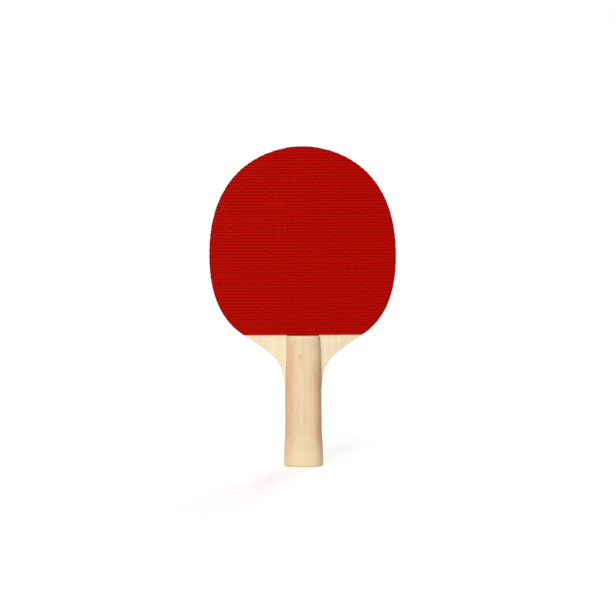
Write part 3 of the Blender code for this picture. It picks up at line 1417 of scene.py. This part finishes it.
@dataclass
class Covering:
    """The sponge and the pimpled rubber on one side of the blade."""

    plan: RacketPlan
    side: Side
    pimple_finish: RubberFinish
    base_finish: RubberFinish
    base_thickness: float = 0.60 * MM
    base_rounding: float = 0.12 * MM
    base_segments: int = 2
    rim_angle: float = math.radians(60)
    row_pitch: float = 2.49 * MM
    pimple_pitch: float = 2.00 * MM
    first_row: float = 1.30 * MM
    root_radius: float = 0.97 * MM
    tip_radius: float = 0.88 * MM
    tip_rounding: float = 0.12 * MM
    tip_segments: int = 1
    pimple_sides: int = 8
    pimple_smooth_to: float = 40.0
    sunk: float = 0.05 * MM
    least_cut: float = 0.30 * MM
    rim_width: float = 1.00 * MM
    straight_rim: float = 0.20
    foam_spacing: float = 0.35 * MM
    foam_rows: int = 5
    foam_cell: float = 0.45 * MM
    foam_roughness: float = 0.07 * MM

    def build(self) -> None:
        """Makes the sponge, the rubber's base sheet and its pimples."""
        self.make_sponge()
        self.make_base_sheet()
        self.make_pimples()

    def make_sponge(self) -> Piece:
        """Makes the sponge, with its cut edge rough from open cells.

        Returns:
            The sponge.
        """
        node = f"{self.side.word}_sponge"
        low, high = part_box(node)
        rows = [low.y + (high.y - low.y) * row / self.foam_rows for row in range(self.foam_rows + 1)]
        loop = resampled_loop(self.plan.rubber_loop(), self.foam_spacing)
        form = raised_sheet(loop, rows)
        form.normal_update()
        middle = Vector((0, 0, self.plan.widest_z))
        for vert in form.verts:
            inward = middle - vert.co
            inward.y = 0
            depth = share_noise(vert.co * (1 / self.foam_cell))
            vert.co += inward.normalized() * depth * self.foam_roughness
        return finished_piece(f"{node}_foam", form, SPONGE_FOAM, (node,))

    def surfaces(self) -> Triple:
        """The y of the rubber's glued face, of its base sheet's outer face, and of the pimples' tips."""
        glued, tips = self.side.faces(f"{self.side.word}_rubber")
        return glued, glued + self.side.value * self.base_thickness, tips

    def make_base_sheet(self) -> Piece:
        """Makes the sheet that carries the pimples, its outer edge a little rounded.

        Returns:
            The sheet, with its rim marked.
        """
        node = f"{self.side.word}_rubber"
        glued, outer, _ = self.surfaces()
        form = raised_sheet(self.plan.rubber_loop(), [glued, outer])
        face = [f for f in form.faces if all(abs(v.co.y - outer) < TOUCH for v in f.verts)]
        bmesh.ops.inset_region(form, faces=face, thickness=self.rim_width, use_even_offset=True)
        rim = [edge for edge in edges_at(form, outer) if edge.calc_face_angle() > self.rim_angle]
        rounded(form, rim, self.base_rounding, self.base_segments)
        layer = form.verts.layers.float.new(RIM)
        for vert in form.verts:
            edge, _, inside = nearest_on_loop(Vector((vert.co.x, vert.co.z)), self.plan.rubber_loop())
            vert[layer] = self.rim_share(inside, edge)
        return finished_piece(f"{node}_sheet", form, self.base_finish, (node,))

    def rim_share(self, inside: float, edge: Vector) -> float:
        """How much painted shade darkens a place near the cut edge, less along the straight cut.

        Args:
            inside: How far inside the edge the place lies.
            edge: The point of the edge that is nearest to it, as (x, z).

        Returns:
            The share, from 0 to 1.
        """
        share = min(max(1.0 - inside / self.rim_width, 0.0), 1.0)
        straight = edge.y < self.plan.rubber_line_z + self.base_rounding
        return share * self.straight_rim if straight else share

    def pimple_stamp(self) -> bpy.types.Mesh:
        """One pimple at the origin, pointing out of this side: a short cone with a rounded tip.

        Returns:
            Its mesh.
        """
        _, outer, tips = self.surfaces()
        form = bmesh.new()
        bmesh.ops.create_cone(
            form,
            cap_ends=True,
            segments=self.pimple_sides,
            radius1=self.root_radius,
            radius2=self.tip_radius,
            depth=abs(tips - outer) + self.sunk,
        )
        tip = [edge for edge in form.edges if all(v.co.z > 0 for v in edge.verts)]
        rounded(form, tip, self.tip_rounding, self.tip_segments)
        turn = Matrix.Rotation(-self.side.value * QUARTER_TURN, 4, "X")
        bmesh.ops.transform(form, matrix=turn, verts=form.verts)
        return mesh_of("pimple_stamp", form)

    def pimple_places(self) -> Points:
        """Where pimples may stand: level rows, each shifted half a pitch from the last.

        Returns:
            Their places as (x, z), some of them outside the sheet.
        """
        columns = int(self.plan.head_width / self.pimple_pitch / 2) + 2
        rows = int((self.plan.crown_z - self.plan.rubber_line_z) / self.row_pitch) + 1
        return [
            Vector(
                (
                    (column + (row % 2) / 2) * self.pimple_pitch,
                    self.plan.rubber_line_z + self.first_row + row * self.row_pitch,
                )
            )
            for row in range(rows)
            for column in range(-columns, columns + 1)
        ]

    def make_pimples(self) -> Piece:
        """Stands a pimple at each of its places, those on the outline cut off flush with it.

        Returns:
            All the pimples as one piece.
        """
        _, outer, tips = self.surfaces()
        middle = (outer - self.side.value * self.sunk + tips) / 2
        loop = self.plan.rubber_loop()
        stamp = self.pimple_stamp()
        form = bmesh.new()
        form.verts.layers.float.new(RIM)
        whole = []
        for place in self.pimple_places():
            edge, outward, inside = nearest_on_loop(place, loop)
            there = Vector((place.x, middle, place.y))
            if inside > self.root_radius + self.rim_width:
                whole.append(there)
            elif inside > self.least_cut - self.root_radius:
                piece = self.edge_pimple(stamp, there, edge, outward)
                form.from_mesh(piece)
                bpy.data.meshes.remove(piece)
        at = Vector((0, 0, 0))
        for there in whole:
            stamp.transform(Matrix.Translation(there - at))
            form.from_mesh(stamp)
            at = there
        bpy.data.meshes.remove(stamp)
        name = f"{self.side.word}_rubber_pimples"
        return finished_piece(name, form, self.pimple_finish, (), self.pimple_smooth_to)

    def edge_pimple(
        self, stamp: bpy.types.Mesh, place: Vector, edge: Vector, outward: Vector
    ) -> bpy.types.Mesh:
        """A pimple near the cut edge, or one that the knife went through when the sheet was trimmed.

        Args:
            stamp: The whole pimple at the origin.
            place: Where it stands.
            edge: The nearest point on the cut, as (x, z).
            outward: The direction out of the sheet there, as (x, z).

        Returns:
            What is left of the pimple, closed again, with its rim marked.
        """
        form = bmesh.new()
        form.from_mesh(stamp)
        bmesh.ops.translate(form, verts=form.verts, vec=place)
        layer = form.verts.layers.float.new(RIM)
        for vert in form.verts:
            inside = (edge - Vector((vert.co.x, vert.co.z))).dot(outward)
            vert[layer] = self.rim_share(inside, edge)
        cut_flat(form, Vector((edge.x, 0, edge.y)), Vector((outward.x, 0, outward.y)))
        return mesh_of("edge_pimple", form)


@dataclass
class GlueLinesAndShadeBeads:
    """The films of cured glue between the layers, a little back from their cut edges, and a dark bead of
    painted shade along each scale's top end.
    """

    plan: RacketPlan
    set_back: float = 0.10 * MM
    squeeze: float = 0.02 * MM
    bead_radius: float = 0.38 * MM
    bead_swing: float = 0.18
    bead_wave_length: float = 2.6 * MM
    bead_sides: int = 14
    bead_cuts: int = 70

    def build(self) -> None:
        """Makes every film and both beads of painted shade."""
        blade = self.plan.blade_loop()
        rubber = self.plan.rubber_loop()
        for side in Side:
            word = side.word
            self.make_film(side, "core_ply", f"{word}_cross_ply", blade, WOOD_GLUE)
            self.make_film(side, f"{word}_cross_ply", f"{word}_face_ply", blade, WOOD_GLUE)
            self.make_film(side, f"{word}_face_ply", f"{word}_sponge", rubber, SHEET_GLUE)
            self.make_film(side, f"{word}_sponge", f"{word}_rubber", rubber, SHEET_GLUE)
            self.make_film(side, f"{word}_face_ply", f"{word}_handle_scale", self.handle_loop(), WOOD_GLUE)
            self.make_shade_bead(side)

    def handle_loop(self) -> Points:
        """The closed outline of a scale's flat side, as (x, z)."""
        half = [Vector((point.x, point.z)) for point in self.plan.scale_rail()]
        return mirrored_loop([Vector((0, self.plan.scale_length)), *half])

    def make_film(
        self, side: Side, inner: str, outer: str, loop: Points, finish: GlueAndShadeFinish
    ) -> Piece:
        """Makes the film between two layers.

        Args:
            side: The side of the blade that it is on.
            inner: The node nearer to the blade's middle.
            outer: The node further out.
            loop: The outline that both share.
            finish: The glue.

        Returns:
            The film.
        """
        low, high = sorted((side.faces(inner)[1], side.faces(outer)[0]))
        levels = [low - self.squeeze, high + self.squeeze]
        form = raised_sheet(offset_loop(loop, self.set_back), levels)
        return finished_piece(f"glue_{inner}_to_{outer}", form, finish, ())

    def make_shade_bead(self, side: Side) -> Piece:
        """Makes the dark bead along a scale's top end, between it and the rubber: painted shade in the
        slot there.

        Args:
            side: The side of the blade that it is on.

        Returns:
            The bead, flat where it lies on the face ply.
        """
        _, surface = side.faces(f"{side.word}_face_ply")
        length = self.plan.scale_top_width - 2 * self.bead_radius
        form = bmesh.new()
        bmesh.ops.create_cone(
            form,
            cap_ends=True,
            segments=self.bead_sides,
            radius1=self.bead_radius,
            radius2=self.bead_radius,
            depth=length,
            matrix=Matrix.Rotation(QUARTER_TURN, 4, "Y"),
        )
        runs = [edge for edge in form.edges if edge.calc_length() > length / 2]
        bmesh.ops.subdivide_edges(form, edges=runs, cuts=self.bead_cuts, use_grid_fill=True)
        for vert in form.verts:
            swell = 1 + self.bead_swing * noise.noise(vert.co / self.bead_wave_length)
            vert.co = (vert.co.x, vert.co.y * swell, vert.co.z * swell)
        seat = Vector((0, surface, self.plan.scale_length + self.bead_radius))
        bmesh.ops.translate(form, verts=form.verts, vec=seat)
        cut_flat(form, seat, Vector((0, -side.value, 0)))
        return finished_piece(f"{side.word}_glue_bead", form, SLOT_SHADE_BEAD, ())


@dataclass
class HandleScale:
    """One shaped wooden half of the handle."""

    plan: RacketPlan
    side: Side
    finish: WoodFinish
    fullness: float = 2.5
    section_steps: int = 48
    waviness: float = 0.07 * MM
    wave_length: float = 14 * MM
    waves_across: float = 2.0

    def section(self, station: Vector) -> Points:
        """The scale's rounded section at one station of its rail.

        Args:
            station: Half its width, its height above the blade, and its height above the butt.

        Returns:
            Points from its right foot over the crest to its left foot.
        """
        seat = self.seat()
        points = []
        for step in range(self.section_steps + 1):
            angle = math.pi * step / self.section_steps
            across = math.copysign(abs(math.cos(angle)) ** (2 / self.fullness), math.cos(angle))
            up = max(math.sin(angle), 0.0) ** (2 / self.fullness)
            point = Vector((station.x * across, seat + self.side.value * station.y * up, station.z))
            points.append(self.hand_sanded(point, up))
        return points

    def seat(self) -> float:
        """The y of the scale's flat side."""
        return self.side.faces(f"{self.side.word}_handle_scale")[0]

    def hand_sanded(self, point: Vector, up: float) -> Vector:
        """Moves a point in a little, more towards the crest, as sanding by hand leaves it.

        Args:
            point: The point on the true section.
            up: How far up the section it lies, from 0 to 1.

        Returns:
            The moved point.
        """
        spot = Vector((point.x * self.waves_across, point.y, point.z)) / self.wave_length
        depth = share_noise(spot) * self.waviness * up
        return point - Vector((0, self.side.value * depth, 0))

    def build(self) -> Piece:
        """Makes the scale by running its section down its rail.

        Returns:
            The scale.
        """
        node = f"{self.side.word}_handle_scale"
        rail = self.plan.scale_rail()
        form = bmesh.new()
        ring = [form.verts.new(point) for point in self.section(rail[0])]
        face = form.faces.new(ring)
        for station in rail[1:]:
            face = drawn_out(form, face)
            ring = self.matching(ring, face)
            for vert, point in zip(ring, self.section(station)):
                vert.co = point
        bmesh.ops.recalc_face_normals(form, faces=form.faces)
        return finished_piece(f"{node}_wood", form, self.finish, (node,))

    def matching(self, ring: Corners, face: Face) -> Corners:
        """The corners of an extruded face, each in the order of the ring that it still lies on.

        Args:
            ring: The corners that the face came from.
            face: The extruded face, not moved yet.

        Returns:
            The face's corners.
        """
        by_place = {tuple(vert.co): vert for vert in face.verts}
        return [by_place[tuple(vert.co)] for vert in ring]


@dataclass(frozen=True)
class Softbox:
    """A square soft lamp."""

    name: str
    place: Vector
    size: float
    power: float


@dataclass
class Studio:
    """The floor, the light and the camera."""

    plan: RacketPlan
    view_width: float = 0.4943
    camera_distance: float = 0.735
    camera_x: float = 0.0041
    camera_z: float = 0.1270
    camera_roll: float = math.radians(-0.29)
    sensor_width: float = 36.0
    clip_start: float = 0.01
    floor_size: float = 12.0
    floor_colour: Rgba = colour(238, 238, 238)
    near_glow: float = 0.50
    far_glow: float = 0.80
    glow_starts: float = 0.5
    glow_ends: float = 2.0
    sky_strength: float = 0.30
    softboxes: tuple[Softbox, ...] = (
        Softbox("front_softbox", Vector((-0.60, -1.60, 0.50)), 0.7, 19.8),
        Softbox("back_softbox", Vector((0.60, 1.60, 0.50)), 0.7, 19.8),
    )

    def build(self) -> None:
        """Makes the whole studio."""
        self.make_camera()
        self.make_floor()
        self.make_sky()
        for softbox in self.softboxes:
            self.make_lamp(softbox)
        bpy.context.scene.view_settings.view_transform = "Standard"

    def make_camera(self) -> None:
        """Looks square on at the racket, level with the lower part of its head."""
        data = bpy.data.cameras.new("camera")
        data.sensor_width = self.sensor_width
        data.lens = self.sensor_width * self.camera_distance / self.view_width
        data.clip_start = self.clip_start
        camera = object_of("camera", data)
        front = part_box("front_rubber")[0].y
        camera.location = (self.camera_x, front - self.camera_distance, self.camera_z)
        level = Matrix.Rotation(QUARTER_TURN, 4, "X")
        roll = Matrix.Rotation(self.camera_roll, 4, "Z")
        camera.rotation_euler = (level @ roll).to_euler()
        bpy.context.scene.camera = camera

    def make_floor(self) -> None:
        """A wide white floor under the butt."""
        form = bmesh.new()
        bmesh.ops.create_grid(form, x_segments=1, y_segments=1, size=self.floor_size / 2)
        mesh = mesh_of("floor", form)
        mesh.materials.append(self.floor_material())
        object_of("floor", mesh)

    def floor_material(self) -> bpy.types.Material:
        """Matt white, lifted to the white of the sky for the camera and reflections only.

        The lamps light the floor round the racket, so it is lifted less there, and its shadow stays.

        Returns:
            The floor's material.
        """
        made = bpy.data.materials.new("floor_white")
        bench = emptied_bench(made)
        matt = bench.add("ShaderNodeBsdfDiffuse")
        bench.feed(matt.inputs["Color"], self.floor_colour)
        glow = bench.add("ShaderNodeEmission")
        bench.feed(glow.inputs["Color"], WHITE)
        away = bench.add("ShaderNodeVectorMath", operation="LENGTH")
        bench.feed(away.inputs[0], bench.add("ShaderNodeTexCoord").outputs["Object"])
        reach = (self.glow_starts, self.glow_ends)
        lift = bench.ranged(away.outputs["Value"], *reach, self.near_glow, self.far_glow)
        bench.feed(glow.inputs["Strength"], bench.calculate("MULTIPLY", self.seen(bench), lift))
        both = bench.add("ShaderNodeAddShader")
        bench.feed(both.inputs[0], matt.outputs[0])
        bench.feed(both.inputs[1], glow.outputs[0])
        output = bench.add("ShaderNodeOutputMaterial")
        bench.feed(output.inputs["Surface"], both.outputs[0])
        return made

    def seen(self, bench: NodeBench) -> Socket:
        """Tells what is seen, straight or in a mirror or glass, from what only gives light.

        Args:
            bench: Where the nodes go.

        Returns:
            One for a camera, glossy or transmission ray, and zero for any other.
        """
        path = bench.add("ShaderNodeLightPath").outputs
        direct = bench.calculate("MAXIMUM", path["Is Camera Ray"], path["Is Glossy Ray"])
        return bench.calculate("MAXIMUM", direct, path["Is Transmission Ray"])

    def make_sky(self) -> None:
        """Even light from all round, which the camera sees as plain white."""
        world = bpy.data.worlds.new("studio")
        bench = emptied_bench(world)
        background = bench.add("ShaderNodeBackground")
        bench.feed(background.inputs["Color"], WHITE)
        strength = bench.ranged(self.seen(bench), 0.0, 1.0, self.sky_strength, 1.0)
        bench.feed(background.inputs["Strength"], strength)
        output = bench.add("ShaderNodeOutputWorld")
        bench.feed(output.inputs["Surface"], background.outputs[0])
        bpy.context.scene.world = world

    def make_lamp(self, softbox: Softbox) -> None:
        """Hangs a softbox that points at the middle of the racket.

        Args:
            softbox: The lamp.
        """
        data = bpy.data.lights.new(softbox.name, "AREA")
        data.shape = "SQUARE"
        data.size = softbox.size
        data.energy = softbox.power
        lamp = object_of(softbox.name, data)
        lamp.location = softbox.place
        aim = Vector((0, 0, self.plan.crown_z / 2)) - softbox.place
        lamp.rotation_euler = aim.to_track_quat("-Z", "Y").to_euler()


def main() -> None:
    """Builds the racket's looks around its solids, then the studio."""
    logging.basicConfig(level=logging.INFO, format="%(name)s: %(message)s")
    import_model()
    plan = RacketPlan()
    Blade(plan).build()
    Covering(plan, Side.FRONT, RED_RUBBER, RED_SHADED_BASE_SHEET).build()
    Covering(plan, Side.BACK, BLACK_RUBBER, BLACK_SHADED_BASE_SHEET).build()
    HandleScale(plan, Side.FRONT, FRONT_SCALE_WOOD).build()
    HandleScale(plan, Side.BACK, BACK_SCALE_WOOD).build()
    GlueLinesAndShadeBeads(plan).build()
    Studio(plan).build()


if __name__ == "__main__":
    main()
